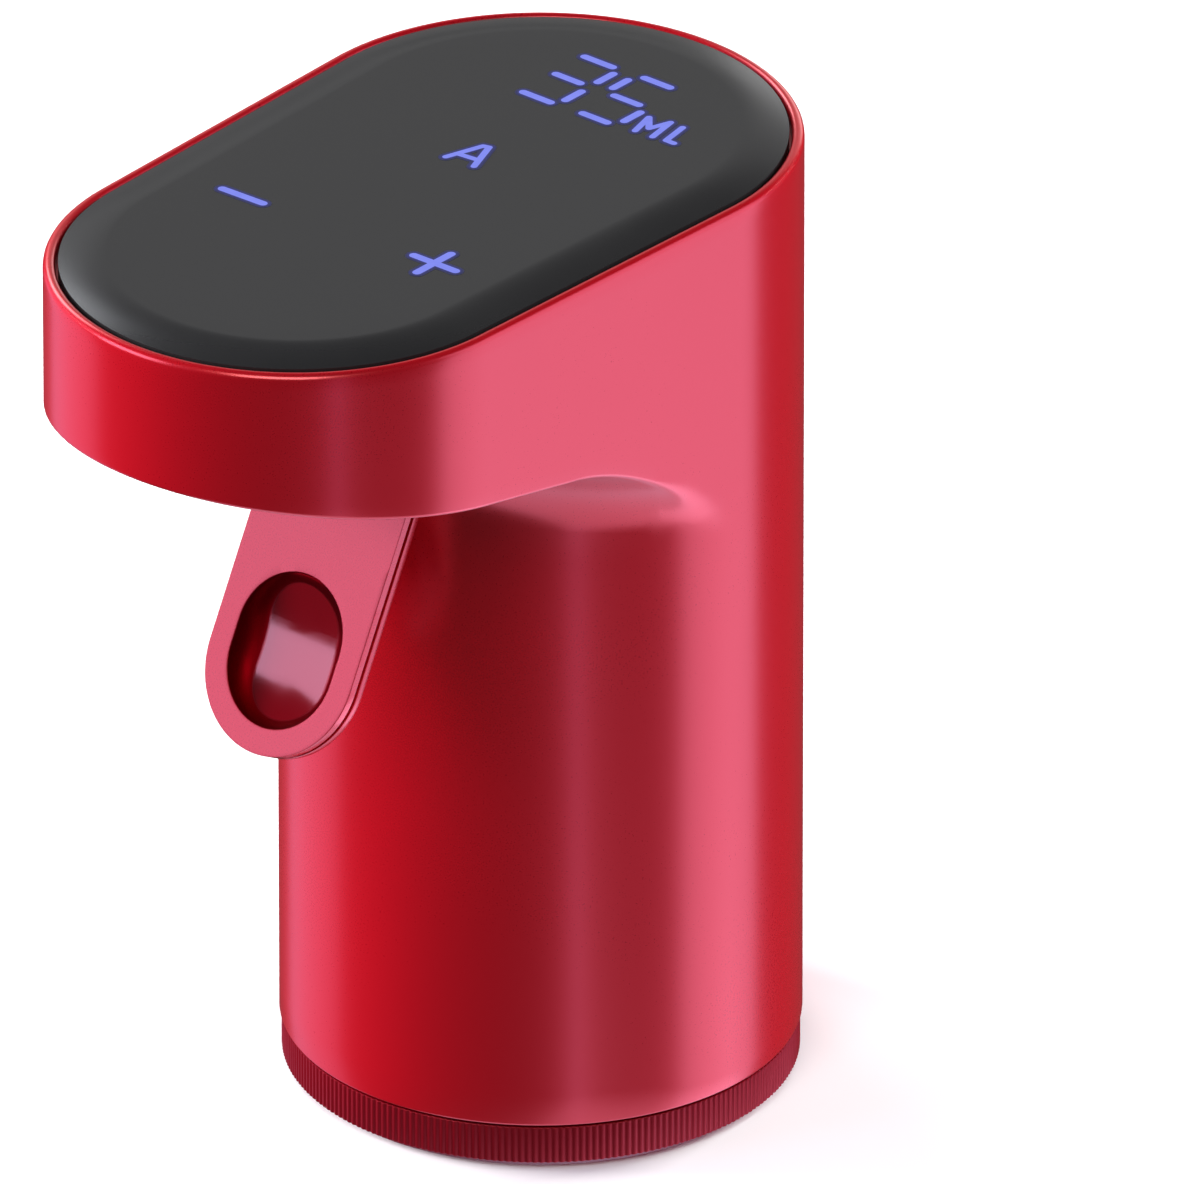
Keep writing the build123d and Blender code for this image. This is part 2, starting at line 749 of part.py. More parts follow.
def spout_nozzle():
    block_h = elbow_block - slip_gap
    y = -spout_reach
    nozzle = post(spout_r, spout_flange_z - spout_tip, y=y, z=spout_tip)
    nozzle = nozzle + post(spout_flange_r, spout_flange_t, y=y, z=spout_flange_z)
    nozzle = nozzle + bar(elbow_block, elbow_block, block_h, y=y, z=spout_flange_z + spout_flange_t)
    tip = y + elbow_block / 2 + stub_h
    nozzle = nozzle + stub(stub_r, (0, y, spout_elbow_z), (0, tip, spout_elbow_z))
    nozzle = nozzle - post(spout_bore, spout_elbow_z - spout_tip, y=y, z=spout_tip)
    return nozzle - stub(stub_bore, (0, y, spout_elbow_z), (0, tip, spout_elbow_z))


def spout_seal():
    seal = post(spout_flange_r, spout_seal_t, y=-spout_reach, z=spout_seat)
    return seal - post(spout_r + bore_gap, spout_seal_t, y=-spout_reach, z=spout_seat)


def lever_outline(inset):
    half = lever_w / 2 - inset
    return Circle(half) + Pos(0, (shoulder - inset) / 2) * Rectangle(2 * half, shoulder - inset)


def lever_face():
    plate = extrude(lever_outline(0), -face_t)
    cup = extrude(obround(dish_r + dish_wall, dish_run), -dish_depth - dish_wall)
    cup = fillet(cup.faces().sort_by(Axis.Z)[0].edges(), dish_round + dish_wall / 2)
    hollow = extrude(obround(dish_r, dish_run), -dish_depth)
    hollow = fillet(hollow.faces().sort_by(Axis.Z)[0].edges(), dish_round)
    dish = Pos(0, dish_low, 0) * (cup - hollow)
    return lever_plane * (plate - Pos(0, dish_low, 0) * hollow + dish)


def lever_arm():
    land = Pos(0, 0, -face_t) * extrude(lever_outline(groove_inset), -groove_t)
    back = Pos(0, 0, -face_t - groove_t) * extrude(lever_outline(0), -back_t)
    neck = Pos(0, shoulder - groove_inset, 0) * Box(neck_w, pivot_rise - shoulder, lever_t, align=back_up)
    neck = neck - extrude(lever_outline(0), -face_t)
    opening = extrude(obround(dish_r + dish_wall + slip_gap, dish_run), -lever_t)
    plate = lever_plane * (land + back + neck - Pos(0, dish_low, 0) * opening)
    barrel = stub(barrel_r, (-barrel_half, pivot.Y, pivot.Z), (barrel_half, pivot.Y, pivot.Z))
    reach = finger_reach + 2 * button_r
    finger = bar(finger_w, reach, finger_t, 0, pivot.Y + reach / 2, pivot.Z - finger_t / 2)
    arm = plate + barrel + finger
    arm = arm - stub(pivot_pin_r + pin_gap, (-neck_w, pivot.Y, pivot.Z), (neck_w, pivot.Y, pivot.Z))
    spring_x = barrel_half - spring_w - seam_gap
    return arm - stub(barrel_r + seam_gap, (spring_x, pivot.Y, pivot.Z), (neck_w, pivot.Y, pivot.Z))


def lever_pin():
    reach = barrel_half + seam_gap + ear_t
    return stub(pivot_pin_r, (-reach, pivot.Y, pivot.Z), (reach, pivot.Y, pivot.Z))


def lever_spring():
    start = (barrel_half - spring_w, pivot.Y, pivot.Z)
    end = (barrel_half, pivot.Y, pivot.Z)
    return stub(spring_r, start, end) - stub(pivot_pin_r + slip_gap, start, end)


def switch_body():
    body = bar(2 * barrel_half, switch_d, switch_h, 0, switch_y, switch_z)
    return body - post(button_r + pin_gap, button_in + switch_gap, 0, switch_y, switch_z)


def switch_button():
    low = finger_top + button_gap
    return post(button_r, switch_z + button_in - low, 0, switch_y, low)


nodes = [
    housing_shell, touch_panel, panel_gasket, display_board, digit_display, touch_pads, board_screws,
    lock_collar, collar_grip, neck_well, well_screws, neck_sleeve, mouth_plug, inlet_fitting, fitting_nut,
    chassis, chassis_screws, battery_cell, cell_tabs, main_board, usb_socket,
    motor_can, motor_cap, motor_armature, motor_shaft, drive_gear, idler_gear, idler_pin,
    pump_body, pump_seal, pump_cover, pump_screws, inlet_hose, outlet_hose, spout_nozzle, spout_seal,
    lever_face, lever_arm, lever_pin, lever_spring, switch_body, switch_button,
]

os.makedirs("parts", exist_ok=True)
for node in nodes:
    export_step(node(), "parts/" + node.__name__ + ".step")
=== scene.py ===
import math

import bmesh
import bpy
import numpy as np
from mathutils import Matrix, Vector


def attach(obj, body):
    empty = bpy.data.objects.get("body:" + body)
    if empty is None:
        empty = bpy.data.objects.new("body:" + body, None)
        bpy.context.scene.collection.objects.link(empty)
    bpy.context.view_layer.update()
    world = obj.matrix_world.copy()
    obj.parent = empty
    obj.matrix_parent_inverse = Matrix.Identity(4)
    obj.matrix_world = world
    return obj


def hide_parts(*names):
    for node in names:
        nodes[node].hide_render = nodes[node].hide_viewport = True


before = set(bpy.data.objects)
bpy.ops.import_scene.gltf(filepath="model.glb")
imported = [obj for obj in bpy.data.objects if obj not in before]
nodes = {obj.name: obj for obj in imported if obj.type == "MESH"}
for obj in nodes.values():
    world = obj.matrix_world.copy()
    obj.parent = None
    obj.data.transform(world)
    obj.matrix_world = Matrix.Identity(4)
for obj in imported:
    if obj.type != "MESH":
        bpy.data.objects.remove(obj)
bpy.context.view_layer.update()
mm = 0.001  # sizes below are in millimetres, meshes in metres
print("frame loaded:", len(nodes), "nodes")


# Meshes from grids of points

def gridFaces(rows, cols, wrapRows):
    # quads between neighbouring rows and columns; columns always run round
    i = np.arange(rows if wrapRows else rows - 1)[:, None]
    j = np.arange(cols)[None, :]
    up = (i + 1) % rows
    right = (j + 1) % cols
    return np.stack([i * cols + j, i * cols + right, up * cols + right, up * cols + j], -1).reshape(-1, 4)


def meshFrom(name, points, faces):
    mesh = bpy.data.meshes.new(name)
    mesh.from_pydata((points.reshape(-1, 3) * mm).tolist(), [], faces.tolist())
    return mesh


def closeUp(mesh, gap=0.002):
    # joins points nearer than the gap, drops empty faces and turns every face outwards
    bm = bmesh.new()
    bm.from_mesh(mesh)
    bmesh.ops.remove_doubles(bm, verts=bm.verts, dist=gap * mm)
    bmesh.ops.dissolve_degenerate(bm, edges=bm.edges, dist=gap * mm)
    bmesh.ops.recalc_face_normals(bm, faces=bm.faces)
    bm.to_mesh(mesh)
    bm.free()


def addPiece(name, mesh, body, sharp):
    # smooth shading, with edges over the sharp angle kept crisp
    mesh.polygons.foreach_set("use_smooth", np.ones(len(mesh.polygons), bool))
    mesh.set_sharp_from_angle(angle=math.radians(sharp))
    piece = bpy.data.objects.new(name, mesh)
    bpy.context.scene.collection.objects.link(piece)
    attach(piece, body)
    return piece


def evenNormals(piece):
    # large faces lead the shading of the soft edges beside them
    even = piece.modifiers.new("even", "WEIGHTED_NORMAL")
    even.keep_sharp = True


def cutOut(mesh, cutters):
    # takes the cutters' volumes out of a closed mesh
    host = bpy.data.objects.new("host", mesh)
    bpy.context.scene.collection.objects.link(host)
    tools = []
    for cutter in cutters:
        tool = bpy.data.objects.new("cutter", cutter)
        bpy.context.scene.collection.objects.link(tool)
        cut = host.modifiers.new("cut", "BOOLEAN")
        cut.operation = "DIFFERENCE"
        cut.solver = "EXACT"
        cut.object = tool
        tools.append(tool)
    bpy.context.view_layer.update()
    made = bpy.data.meshes.new_from_object(host.evaluated_get(bpy.context.evaluated_depsgraph_get()))
    for done in [host, *tools]:
        bpy.data.objects.remove(done)
    return made


def prism(name, outline, low, high):
    # outline in the plane of its first two columns, carried from low to high along the third
    count = len(outline)
    ring = np.zeros((2, count, 3))
    ring[:, :, :2] = outline
    ring[0, :, 2] = low
    ring[1, :, 2] = high
    walls = gridFaces(2, count, False).tolist()
    mesh = bpy.data.meshes.new(name)
    mesh.from_pydata((ring.reshape(-1, 3) * mm).tolist(), [],
                     walls + [list(range(count))[::-1], list(range(count, 2 * count))])
    closeUp(mesh)
    return mesh


def turnMesh(mesh, origin, across, along, out):
    # puts a mesh that was drawn in a local plane into the object's frame: x runs across, y along and z out
    points = np.zeros(len(mesh.vertices) * 3)
    mesh.vertices.foreach_get("co", points)
    points = points.reshape(-1, 3) @ np.array([across, along, out], float) + np.array(origin, float) * mm
    mesh.vertices.foreach_set("co", points.ravel())
    mesh.update()
    return mesh


# Shader maths

class Wire:  # one socket, so that sums on sockets read as plain sums
    def __init__(self, tree, socket):
        self.tree = tree
        self.socket = socket

    def sum(self, kind, first, second):
        made = self.tree.nodes.new("ShaderNodeMath")
        made.operation = kind
        for slot, value in zip(made.inputs, (first, second)):
            if isinstance(value, Wire):
                self.tree.links.new(value.socket, slot)
            else:
                slot.default_value = value
        return Wire(self.tree, made.outputs[0])

    def __add__(self, other):
        return self.sum("ADD", self, other)

    def __sub__(self, other):
        return self.sum("SUBTRACT", self, other)

    def __rsub__(self, other):
        return self.sum("SUBTRACT", other, self)

    def __mul__(self, other):
        return self.sum("MULTIPLY", self, other)

    __radd__ = __add__
    __rmul__ = __mul__


class Finish:  # one material
    def __init__(self, name, **fixed):
        self.material = bpy.data.materials.new(name)
        self.material.use_nodes = True
        self.tree = self.material.node_tree
        self.shader = self.tree.nodes["Principled BSDF"]
        for key, value in fixed.items():
            self.shader.inputs[key.replace("_", " ")].default_value = value

    def add(self, kind, settings=None, sockets=None, out=0):
        # any node: its settings first, then the values or links of its sockets
        made = self.tree.nodes.new(kind)
        for key, value in (settings or {}).items():
            setattr(made, key, value)
        for key, value in (sockets or {}).items():
            if isinstance(value, Wire):
                self.tree.links.new(value.socket, made.inputs[key])
            else:
                made.inputs[key].default_value = value
        return Wire(self.tree, made.outputs[out])

    def place(self):
        return self.add("ShaderNodeTexCoord", out=3)

    def noise(self, scale, detail=2.0, rough=0.5, stretch=None):
        at = self.place()
        if stretch:
            at = self.add("ShaderNodeMapping", {}, {"Vector": at, "Scale": stretch})
        return self.add("ShaderNodeTexNoise", {}, {"Vector": at, "Scale": scale, "Detail": detail, "Roughness": rough})

    def mixColour(self, factor, first, second):
        return self.add("ShaderNodeMix", {"data_type": "RGBA"}, {0: factor, 6: first, 7: second}, out=2)

    def bump(self, height, strength, depth):
        return self.add("ShaderNodeBump", {}, {"Height": height, "Strength": strength, "Distance": depth})

    def feed(self, key, value):
        self.tree.links.new(value.socket, self.shader.inputs[key])


def rgb(red, green, blue):
    # screen colour of 0 to 255 as linear light
    level = np.array([red, green, blue]) / 255.0
    linear = np.where(level <= 0.04045, level / 12.92, ((level + 0.055) / 1.055) ** 2.4)
    return (*linear.tolist(), 1.0)


satin = {"grain": 5200.0, "drift": 22.0, "grainTone": 0.25, "driftTone": 0.5, "bump": 0.05, "depth": 0.00003,
         "coatRough": 0.24}
moulded = {"drift": 40.0, "lighter": 1.25, "bump": 0.12, "depth": 0.00004}
drawn = {"streak": 900.0, "darker": 0.72, "bump": 0.06, "depth": 0.00003}
tracks = {"scale": 420.0, "line": 0.03, "cloud": 160.0, "mask": (12, 74, 44), "maskLight": (16, 88, 52),
          "maskDeep": (9, 60, 38), "copper": (46, 120, 70)}


def satinTone(paint, colour, deep):
    # fine grain and a slow drift between two tones, and the grain's relief, which all painted pieces share
    grain = paint.noise(satin["grain"])
    drift = paint.noise(satin["drift"], 3.0)
    red = paint.mixColour(drift * satin["driftTone"] + grain * satin["grainTone"], rgb(*colour), rgb(*deep))
    paint.feed("Normal", paint.bump(grain, satin["bump"], satin["depth"]))
    return red, grain, drift


def paintFinish(name, colour, deep, rough, coat=0.0, metal=0.0):
    # satin paint: the gloss follows the grain and the drift
    paint = Finish(name, Specular_IOR_Level=0.5, Coat_Roughness=satin["coatRough"], Coat_Weight=coat, Metallic=metal)
    red, grain, drift = satinTone(paint, colour, deep)
    paint.feed("Base Color", red)
    paint.feed("Roughness", rough - 0.05 + grain * 0.06 + drift * 0.05)
    return paint.material


def mouldedFinish(name, colour, rough, grainScale=2600.0):
    # moulded plastic or rubber: spark-eroded grain and a slight drift to a lighter tone
    plastic = Finish(name, Specular_IOR_Level=0.5)
    grain = plastic.noise(grainScale, 3.0, 0.6)
    drift = plastic.noise(moulded["drift"])
    tone = rgb(*colour)
    light = (*(min(1.0, moulded["lighter"] * c) for c in tone[:3]), 1.0)
    plastic.feed("Base Color", plastic.mixColour(drift * 0.6 + grain * 0.2, tone, light))
    plastic.feed("Roughness", rough + grain * 0.12 - 0.06)
    plastic.feed("Normal", plastic.bump(grain, moulded["bump"], moulded["depth"]))
    return plastic.material


def metalFinish(name, colour, rough, stretch=(1.0, 1.0, 40.0)):
    # drawn or turned metal: fine streaks in gloss and colour
    metal = Finish(name, Metallic=1.0)
    streak = metal.noise(drawn["streak"], 3.0, 0.6, stretch)
    tone = rgb(*colour)
    dark = (*(drawn["darker"] * c for c in tone[:3]), 1.0)
    metal.feed("Base Color", metal.mixColour(streak, dark, tone))
    metal.feed("Roughness", rough + streak * 0.16 - 0.08)
    metal.feed("Normal", metal.bump(streak, drawn["bump"], drawn["depth"]))
    return metal.material


def boardFinish(name):
    # circuit board: green solder mask with rows of copper tracks under it
    board = Finish(name, Specular_IOR_Level=0.5)
    track = board.add("ShaderNodeTexBrick", {"offset": 0.5},
                      {"Vector": board.place(), "Scale": tracks["scale"], "Mortar Size": tracks["line"],
                       "Color1": rgb(*tracks["mask"]), "Color2": rgb(*tracks["maskLight"]),
                       "Mortar": rgb(*tracks["copper"])})
    cloud = board.noise(tracks["cloud"])
    board.feed("Base Color", board.mixColour(cloud * 0.5, track, rgb(*tracks["maskDeep"])))
    board.feed("Roughness", 0.3 + cloud * 0.15)
    return board.material


# Housing

shell = {"bodyR": 29.0, "noseR": 27.8, "noseY": -40.8, "rimZ": 114.2, "footZ": 5.6, "footRound": 0.35,
         "underZ": 86.0, "slope": math.tan(math.radians(10.1)), "blendR": 10.0, "edge": 0.5,
         "rimWall": 1.4, "rimRound": 0.75, "rimInner": 0.6, "wall": 2.0, "ledge": 2.6, "ledgeZ": 112.2,
         "throatZ": 110.7, "fade": 3.0,  # over the fade, rows pass from even spacing to their own places
         "rear": 180, "side": 90, "nose": 180,  # columns
         "wallRows": 14, "edgeRows": 9, "underRows": 9, "blendRows": 16, "bodyRows": 22, "bendRows": 6,
         "boreRows": 6, "floorRows": 7, "innerRows": 6,
         "red": (210, 4, 28), "redDeep": (200, 3, 24), "rough": 0.28, "coat": 0.85, "metal": 0.4}
redPaint = paintFinish("redPaint", shell["red"], shell["redDeep"], shell["rough"], shell["coat"], shell["metal"])
print("paint made")


def headColumns():
    # turn: direction square to the outline; share: 0 on the body's circle, 1 on the nose's
    tilt = math.asin((shell["bodyR"] - shell["noseR"]) / -shell["noseY"])
    rear = np.linspace(-tilt, math.pi + tilt, shell["rear"], endpoint=False)
    nose = np.linspace(math.pi + tilt, 2 * math.pi - tilt, shell["nose"], endpoint=False)
    side = np.linspace(0, 1, shell["side"], endpoint=False)
    turn = np.concatenate([rear, np.full(side.size, math.pi + tilt), nose, np.full(side.size, -tilt)])
    share = np.concatenate([np.zeros(rear.size), side, np.ones(nose.size), 1 - side])
    return turn, share


def headOutline(turn, share, inset):
    # centre between the two circles, plus their radius less the inset, along the turn
    radius = shell["bodyR"] + (shell["noseR"] - shell["bodyR"]) * share - inset
    return radius * np.cos(turn), share * shell["noseY"] + radius * np.sin(turn)


def headRing(turn, share, inset, height):
    # the outline at one height
    x, y = headOutline(turn, share, inset)
    return np.stack([x, y, np.full(x.size, height)], -1)[None]


def respace(rows, keep):
    # rows of a column sit at their own lengths where keep is 1, and evenly where it is 0
    steps = np.linalg.norm(np.diff(rows, axis=0), axis=2)
    length = np.concatenate([np.zeros((1, rows.shape[1])), np.cumsum(steps, axis=0)])
    even = np.linspace(0, 1, len(rows))[:, None] * length[-1]
    wanted = keep * length + (1 - keep) * even
    apart = np.arange(rows.shape[1]) * (length.max() * 2 + 1)
    known = (length + apart).T.ravel()
    asked = (wanted + apart).T.ravel()
    found = [np.interp(asked, known, rows[:, :, k].T.ravel()).reshape(rows.shape[1], -1).T for k in range(3)]
    return np.stack(found, -1)


def levels(low, high, count):
    # rows from one height to another, each a value or one per column
    part = np.linspace(0, 1, count)[:, None]
    return low + (high - low) * part


def housingRows():
    # the section of each column: rim, side wall, rounded lower edge, underside, hollow blend, body, and the inside
    s = shell
    turn, share = headColumns()
    x, y = headOutline(turn, share, 0.0)
    reach = np.hypot(x, y)
    aim = np.arctan2(y, x)
    keep = np.clip((reach - s["bodyR"]) / s["fade"], 0, 1)
    keep = keep * keep * (3 - 2 * keep)  # eased at both ends

    def inset(depth, height):
        return headRing(turn, share, depth, height)

    def radial(r, z):
        r = np.broadcast_to(r, np.broadcast(r, z).shape)
        return np.stack([r * np.cos(aim), r * np.sin(aim), np.broadcast_to(z, r.shape)], -1)

    # underside: a plane that rises to the front, less a sheared quarter ellipse beside the body
    rise = -s["slope"] * np.sin(aim)
    drop = s["blendR"] * math.hypot(1, s["slope"])
    blendEnd = s["bodyR"] + s["blendR"]

    def under(r):
        q = np.clip((blendEnd - r) / s["blendR"], 0, 1)
        return s["underZ"] + rise * r - drop * (1 - np.sqrt(1 - q * q))

    def steep(r):
        q = np.clip((blendEnd - r) / s["blendR"], 0, 0.9999)  # short of the end, where the blend stands upright
        return rise + drop * q / (s["blendR"] * np.sqrt(1 - q * q))

    # lower edge: a parabola between the wall and the underside
    square = np.cos(turn - aim)
    tuck = np.minimum(s["edge"] / square, 0.5 * (reach - s["bodyR"]))
    edgeR = reach - tuck
    edgeZ = under(edgeR)
    cornerZ = edgeZ + steep(edgeR) * tuck
    wallZ = cornerZ + tuck * square
    t = np.linspace(0, 1, s["edgeRows"])[1:-1, None]
    edgeRows = radial((1 - t * t) * reach + t * t * edgeR,
                      (1 - t) ** 2 * wallZ + 2 * t * (1 - t) * cornerZ + t * t * edgeZ)
    lineEnd = np.minimum(edgeR, blendEnd)
    lineR = levels(edgeR, lineEnd, s["underRows"])
    startTurn = np.arcsin(np.clip((blendEnd - lineEnd) / s["blendR"], 0, 1))
    blendR = blendEnd - s["blendR"] * np.sin(levels(startTurn, math.pi / 2, s["blendRows"]))[1:]
    topZ = s["rimZ"] - s["rimRound"]
    bodyZ = levels(under(np.full(reach.size, s["bodyR"])), s["footZ"] + s["footRound"], s["bodyRows"])[1:]
    outside = respace(np.concatenate([
        radial(reach, levels(topZ, wallZ, s["wallRows"])), edgeRows, radial(lineR, under(lineR)),
        radial(blendR, under(blendR)), radial(s["bodyR"], bodyZ)]), keep)

    # rim: a quarter round on its inner side, then one on its outer side; foot: a quarter round
    bend = np.linspace(0, math.pi / 2, s["bendRows"])
    inner, outer, low = s["rimInner"], s["rimRound"], s["footRound"]
    rim = [inset(s["rimWall"], s["ledgeZ"])]
    rim += [inset(s["rimWall"] - inner * (1 - math.cos(b)), s["rimZ"] - inner * (1 - math.sin(b))) for b in bend]
    rim += [inset(outer * (1 - math.sin(b)), s["rimZ"] - outer * (1 - math.cos(b))) for b in bend[:-1]]
    foot = [radial(s["bodyR"] - low * (1 - np.cos(b)),
                   np.full(reach.size, s["footZ"] + low * (1 - np.sin(b))))[None] for b in bend[1:]]

    # inside: body bore, floor, side wall and the ledge under the panel
    boreR = s["bodyR"] - s["wall"]
    floorZ = s["underZ"] + s["wall"] * math.hypot(1, s["slope"])
    inX, inY = headOutline(turn, share, s["wall"])
    part = np.linspace(0, 1, s["floorRows"])[1:, None]
    floorX = boreR * np.cos(aim) * (1 - part) + inX * part
    floorY = boreR * np.sin(aim) * (1 - part) + inY * part
    floor = np.stack([floorX, floorY, floorZ - s["slope"] * floorY], -1)
    innerZ = levels(floor[-1, :, 2], s["throatZ"], s["innerRows"])[1:]
    innerWall = np.stack([np.broadcast_to(inX, innerZ.shape), np.broadcast_to(inY, innerZ.shape), innerZ], -1)
    boreZ = levels(np.full(reach.size, s["footZ"]), floorZ - s["slope"] * boreR * np.sin(aim), s["boreRows"])
    inside = respace(np.concatenate([radial(boreR, boreZ), floor, innerWall]), keep)
    ledge = [inset(s["ledge"], s["throatZ"]), inset(s["ledge"], s["ledgeZ"])]
    return np.concatenate([*rim, outside, *foot, inside, *ledge])


# the lever's settings stand here, because its neck needs an opening in the housing
lever = {"lean": math.radians(27.8), "origin": (0.0, -44.05, 65.5), "halfWidth": 10.1, "shoulder": 22.0,
         "faceT": 1.0, "seam": 0.04, "edge": 0.06, "lip": 0.14, "dishR": 7.1, "dishRun": 3.2, "dishLow": 0.1,
         "dishDepth": 2.7, "floorLong": 1.4, "dishRound": 2.5, "dishWall": 1.2, "scoopR": 18.0, "scoopY": 0.65,
         "cupDepth": 6.5, "cupRound": 4.8, "bendRows": 10,
         "floorRings": (0.0, 0.5), "faceRings": (0.12, 0.5, 0.88),  # shares of the way across floor and face
         "lowSteps": 72, "cornerSteps": 28, "topSteps": 24, "sideSteps": 6,  # columns round the dish
         # the face's two reds are the body's paint in a darker copy: painted shade on the lever's face; the side keeps
         # the body's own red
         "face": (152, 4, 27), "faceDeep": (144, 3, 24), "sideRed": (208, 4, 28), "wallShade": (128, 2, 12),
         # the dish's wall and floor reds are painted shade, darker inside the recess
         "dishShade": (122, 3, 18), "rough": 0.25, "metal": 0.4, "coat": 0.2, "coatRough": 0.12,
         "slotHalf": 6.6, "slotTop": 36.5, "slotFront": 0.6, "slotBack": -5.02}
leverAxes = ((1, 0, 0), (0, math.sin(lever["lean"]), math.cos(lever["lean"])),
             (0, -math.cos(lever["lean"]), math.sin(lever["lean"])))
spout = {"y": -59.0, "holeR": 4.2, "low": 80.0, "high": 108.0}
inlet = {"half": 4.77, "round": 1.93, "z": 62.0, "near": 22.0, "far": 34.0}
holeSteps = 64  # points round the spout's and the inlet's openings


def slotCutters():
    # openings for the lever's neck, the spout and the charging socket
    w, low, high = lever["slotHalf"], lever["shoulder"], lever["slotTop"]
    corners = np.array([(-w, low), (w, low), (w, high), (-w, high)])
    neck = prism("neckCut", corners, lever["slotBack"], lever["slotFront"])
    turnMesh(neck, lever["origin"], *leverAxes)
    turn = np.linspace(0, 2 * math.pi, holeSteps, endpoint=False)
    circle = np.stack([spout["holeR"] * np.cos(turn), spout["y"] + spout["holeR"] * np.sin(turn)], -1)
    hole = prism("spoutCut", circle, spout["low"], spout["high"])
    run = np.sign(np.cos(turn + 1e-4)) * (inlet["half"] - inlet["round"])  # the tiny turn parts the two ends
    slot = np.stack([run + inlet["round"] * np.cos(turn), inlet["round"] * np.sin(turn)], -1)
    socket = prism("socketCut", slot, inlet["near"], inlet["far"])
    turnMesh(socket, (0, 0, inlet["z"]), (-1, 0, 0), (0, 0, 1), (0, 1, 0))
    return [neck, hole, socket]


def makeHousing():
    rows = housingRows()
    mesh = meshFrom("housing", rows, gridFaces(rows.shape[0], rows.shape[1], True))
    closeUp(mesh, 0.0005)
    mesh = cutOut(mesh, slotCutters())
    piece = addPiece("housing", mesh, "housing", sharp=38)
    piece.data.materials.clear()
    piece.data.materials.append(redPaint)
    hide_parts("housing_shell")
    print("housing:", len(mesh.polygons), "faces")


makeHousing()


# Touch panel

panel = {"edge": 1.7, "soft": 5.2, "bow": 1.6, "crown": 0.96, "below": 1.2, "broken": 0.1, "steps": 14,
         "topRings": (0.0, 0.3, 0.6, 0.85), "lowRings": (0.6, 0.0),  # shares of the way out from the middle line
         "tint": (42, 42, 42), "deep": (37, 37, 37), "haze": 70.0, "dust": 3800.0, "rough": 0.2,
         "bump": 0.03, "depth": 0.00002}


def panelFinish():
    # smoked hard plastic: even tone, faint haze in the gloss
    smoke = Finish("smokedPanel", Specular_IOR_Level=0.45)
    haze = smoke.noise(panel["haze"], 3.0)
    dust = smoke.noise(panel["dust"])
    smoke.feed("Base Color", smoke.mixColour(haze * 0.7 + dust * 0.3, rgb(*panel["deep"]), rgb(*panel["tint"])))
    smoke.feed("Roughness", panel["rough"] + haze * 0.06 + dust * 0.04)
    smoke.feed("Normal", smoke.bump(dust, panel["bump"], panel["depth"]))
    return smoke.material


def makePanel():
    # rings of the head's outline: top from the middle line outwards, soft edge that falls with a power
    # of the distance from its inner end, side, underside
    turn, share = headColumns()
    top = shell["rimZ"] + panel["crown"]
    fall = np.linspace(0, 1, panel["steps"])
    middle = shell["bodyR"] + (shell["noseR"] - shell["bodyR"]) * share
    flatEdge = panel["edge"] + panel["soft"]

    def ringAt(inset, height):
        return headRing(turn, share, inset, height)

    rings = [ringAt(middle + (flatEdge - middle) * k, top) for k in panel["topRings"]]
    rings += [ringAt(flatEdge - panel["soft"] * f, top - panel["crown"] * f ** panel["bow"]) for f in fall]
    low = shell["rimZ"] - panel["below"]
    rings += [ringAt(panel["edge"], low + panel["broken"]), ringAt(panel["edge"] + panel["broken"], low)]
    rings += [ringAt(middle + (flatEdge - middle) * k, low) for k in panel["lowRings"]]
    rings = np.concatenate(rings)
    mesh = meshFrom("panel", rings, gridFaces(rings.shape[0], rings.shape[1], False))
    closeUp(mesh)
    piece = addPiece("panel", mesh, "housing", sharp=40)
    evenNormals(piece)
    mesh.materials.append(panelFinish())
    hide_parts("touch_panel")
    print("panel:", len(mesh.polygons), "faces")


makePanel()


# Lit marks on the panel

marks = {"digit": 1.0, "letter": 0.78, "sign": 1.04, "base": 0.962, "step": 0.0004, "endSteps": 9,
         "patch": 700.0, "unlit": ((20, 22, 60), (28, 30, 80)),
         "layers": [
             # name, finish, added width, low and high end from the base, bright and dim colour, strength
             ("markShade", "shadeGlow", 0.9, -0.02, 0.01, (44, 44, 54), (38, 38, 48), 0.5),
             ("markHalo", "haloGlow", 0.5, -0.015, 0.02, (50, 52, 112), (40, 42, 96), 0.5),
             ("markLit", "litGlow", 0.0, -0.01, 0.028, (128, 138, 234), (114, 124, 224), 1.0)],
         # strokes, each from x, y to x, y
         "digits": [(-6.4, 15.1, -2.4, 15.1), (-6.1, 9.85, -2.6, 9.85), (-6, 4.2, -2.1, 4.2),
                    (-1.3, 11.3, -1.3, 13.9), (-1.2, 5.7, -1.2, 8.4), (1.95, 15.4, 5.6, 15.4),
                    (0.9, 11.3, 0.9, 13.8), (2.2, 10, 5.7, 10), (7, 6, 7, 8.7), (2.3, 4.5, 5.8, 4.5)],
         "letters": [(9.4, 5, 8.5, 8.4), (8.5, 8.4, 10.2, 6.4), (10.2, 6.4, 11.1, 9), (11.1, 9, 11.8, 5.1),
                     (12.9, 8.9, 13.5, 5.4), (13.5, 5.4, 14.6, 5.4),
                     (-2.35, -13.2, -0.9, -8.6), (-0.9, -8.6, -0.2, -8.4), (-0.2, -8.4, 1.5, -12.95),
                     (-1.9, -11.8, 0.95, -11.5)],
         "signs": [(-15.99, -34.79, -10.31, -34.61), (10.31, -33.39, 16.19, -33.31), (13.2, -36.25, 13.2, -30.55)]}


def glowFinish(name, bright, dim, strength):
    # lit mark behind the panel: light that varies a little along the stroke
    glow = Finish(name, Roughness=0.4, Emission_Strength=strength)
    patch = glow.noise(marks["patch"])
    dark, light = marks["unlit"]
    glow.feed("Emission Color", glow.mixColour(patch, rgb(*dim), rgb(*bright)))
    glow.feed("Base Color", glow.mixColour(patch, rgb(*dark), rgb(*light)))
    return glow.material


